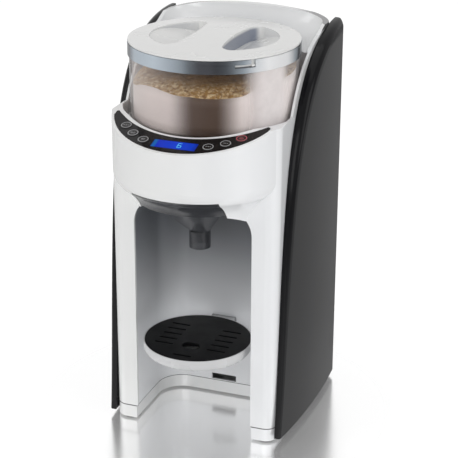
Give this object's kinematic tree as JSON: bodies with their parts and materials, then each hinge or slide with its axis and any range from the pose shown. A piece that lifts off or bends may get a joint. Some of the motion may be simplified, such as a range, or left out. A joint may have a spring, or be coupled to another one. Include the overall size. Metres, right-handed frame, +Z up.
{
  "type": "baby formula maker",
  "caption": "Countertop baby formula maker with a lidded powder container on top, a dosing wheel, a funnel over an arched bottle recess, a hook-in drip tray and a rear water tank.",
  "frame": {"origin": "Middle of the machine's footprint, on the floor under its rubber feet.", "axes": "Z is up, -Y is the front with the bottle recess, +X is the machine's left as seen from behind and the viewer's right from the front."},
  "size_m": [0.179, 0.256, 0.365],
  "materials": {
    "white_shell": "gloss",
    "dark_side": "satin",
    "liner_grey": "satin",
    "clear_bowl": "clear",
    "collar_grey": "satin",
    "lid_white": "gloss",
    "panel_black": "gloss",
    "button_black": "gloss",
    "display_lens": "clear",
    "circuit_green": "matte",
    "funnel_smoke": "translucent",
    "grid_black": "matte",
    "inner_grey": "matte",
    "wheel_white": "satin",
    "gear_white": "satin",
    "steel": "brushed",
    "pump_black": "matte",
    "rubber_black": "matte",
    "silicone": "translucent",
    "tank_clear": "clear",
    "brass_bush": "machined"
  },
  "bodies": {
    "machine": {"front_housing": "white_shell", "alcove_liner": "liner_grey", "base": "white_shell", "base_screws": "steel", "rubber_feet": "rubber_black", "tank_dock": "white_shell", "left_side_panel": "dark_side", "right_side_panel": "dark_side", "hood": "white_shell", "rear_cover": "white_shell", "rear_screws": "steel", "cord_gland": "rubber_black", "control_panel": "panel_black", "display_window": "display_lens", "display_module": "circuit_green", "keypad_mat": "silicone", "control_board": "circuit_green", "seat_pan": "inner_grey", "drive_bush": "brass_bush", "drive_motor": "steel", "water_spout": "inner_grey", "inner_chassis": "inner_grey", "heater": "steel", "water_pump": "pump_black", "inlet_hose": "silicone", "heater_hose": "silicone", "spout_hose": "silicone", "power_board": "circuit_green"},
    "container": {"container_bowl": "clear_bowl", "collar_ring": "collar_grey", "powder_scraper": "inner_grey"},
    "seal": {"lid_gasket": "silicone"},
    "cover": {"lid": "lid_white"},
    "dosing": {"measuring_wheel": "wheel_white", "stirring_wheel": "wheel_white"},
    "drive": {"drive_hub": "gear_white", "drive_gear": "gear_white"},
    "pinion": {"motor_pinion": "steel"},
    "funnel_body": {"funnel": "funnel_smoke"},
    "tray": {"drip_tray": "white_shell"},
    "grid": {"tray_grid": "grid_black"},
    "tank": {"water_tank": "tank_clear", "valve_cage": "inner_grey", "valve_spring": "steel", "lid_pin": "steel"},
    "valve": {"tank_valve": "rubber_black"},
    "tank_cover": {"tank_lid": "tank_clear"},
    "button_left_outer_body": {"button_left_outer": "button_black"},
    "button_left_middle_body": {"button_left_middle": "button_black"},
    "button_left_inner_body": {"button_left_inner": "button_black"},
    "button_right_inner_body": {"button_right_inner": "button_black"},
    "button_right_middle_body": {"button_right_middle": "button_black"},
    "button_right_outer_body": {"button_right_outer": "button_black"}
  },
  "joints": [
    {"name": "container_lift", "type": "slide", "parent": "machine", "child": "container", "axis": [0, 0, 1], "range_m": [0, 0.1]},
    {"name": "lid_lift", "type": "slide", "parent": "container", "child": "seal", "axis": [0, 0, 1], "range_m": [0, 0.06]},
    {"name": "lid_twist", "type": "hinge", "parent": "seal", "child": "cover", "pos_m": [0, -0.02, 0.35], "axis": [0, 0, 1], "range_deg": [-11, 0]},
    {"name": "dosing_turn", "type": "hinge", "parent": "container", "child": "dosing", "pos_m": [0, -0.02, 0.268], "axis": [0, 0, 1], "continuous": true},
    {"name": "drive_turn", "type": "hinge", "parent": "machine", "child": "drive", "pos_m": [0, -0.02, 0.25], "axis": [0, 0, 1], "continuous": true},
    {"name": "pinion_turn", "type": "hinge", "parent": "machine", "child": "pinion", "pos_m": [0, 0.006, 0.25], "axis": [0, 0, 1], "continuous": true},
    {"name": "funnel_slide", "type": "slide", "parent": "machine", "child": "funnel_body", "axis": [0, -1, 0], "range_m": [0, 0.11]},
    {"name": "tray_slide", "type": "slide", "parent": "machine", "child": "tray", "axis": [0, -1, 0], "range_m": [0, 0.14]},
    {"name": "grid_lift", "type": "slide", "parent": "tray", "child": "grid", "axis": [0, 0, 1], "range_m": [0, 0.04]},
    {"name": "tank_lift", "type": "slide", "parent": "machine", "child": "tank", "axis": [0, 0, 1], "range_m": [0, 0.1]},
    {"name": "valve_push", "type": "slide", "parent": "tank", "child": "valve", "axis": [0, 0, 1], "range_m": [0, 0.003], "stiffness_N_per_m": 60, "springref_m": -0.002, "deforming": ["valve_spring"]},
    {"name": "tank_lid_hinge", "type": "hinge", "parent": "tank", "child": "tank_cover", "pos_m": [0, 0.0844, 0.328], "axis": [1, 0, 0], "range_deg": [0, 95]},
    {"name": "button_left_outer_press", "type": "slide", "parent": "machine", "child": "button_left_outer_body", "axis": [0, 0.2521, -0.9677], "range_m": [0, 0.0008], "stiffness_N_per_m": 400},
    {"name": "button_left_middle_press", "type": "slide", "parent": "machine", "child": "button_left_middle_body", "axis": [0, 0.2521, -0.9677], "range_m": [0, 0.0008], "stiffness_N_per_m": 400},
    {"name": "button_left_inner_press", "type": "slide", "parent": "machine", "child": "button_left_inner_body", "axis": [0, 0.2521, -0.9677], "range_m": [0, 0.0008], "stiffness_N_per_m": 400},
    {"name": "button_right_inner_press", "type": "slide", "parent": "machine", "child": "button_right_inner_body", "axis": [0, 0.2521, -0.9677], "range_m": [0, 0.0008], "stiffness_N_per_m": 400},
    {"name": "button_right_middle_press", "type": "slide", "parent": "machine", "child": "button_right_middle_body", "axis": [0, 0.2521, -0.9677], "range_m": [0, 0.0008], "stiffness_N_per_m": 400},
    {"name": "button_right_outer_press", "type": "slide", "parent": "machine", "child": "button_right_outer_body", "axis": [0, 0.2521, -0.9677], "range_m": [0, 0.0008], "stiffness_N_per_m": 400}
  ],
  "couplings": [
    {"joint": "dosing_turn", "follows": "drive_turn", "ratio": 1},
    {"joint": "pinion_turn", "follows": "drive_turn", "ratio": -3.3333}
  ]
}
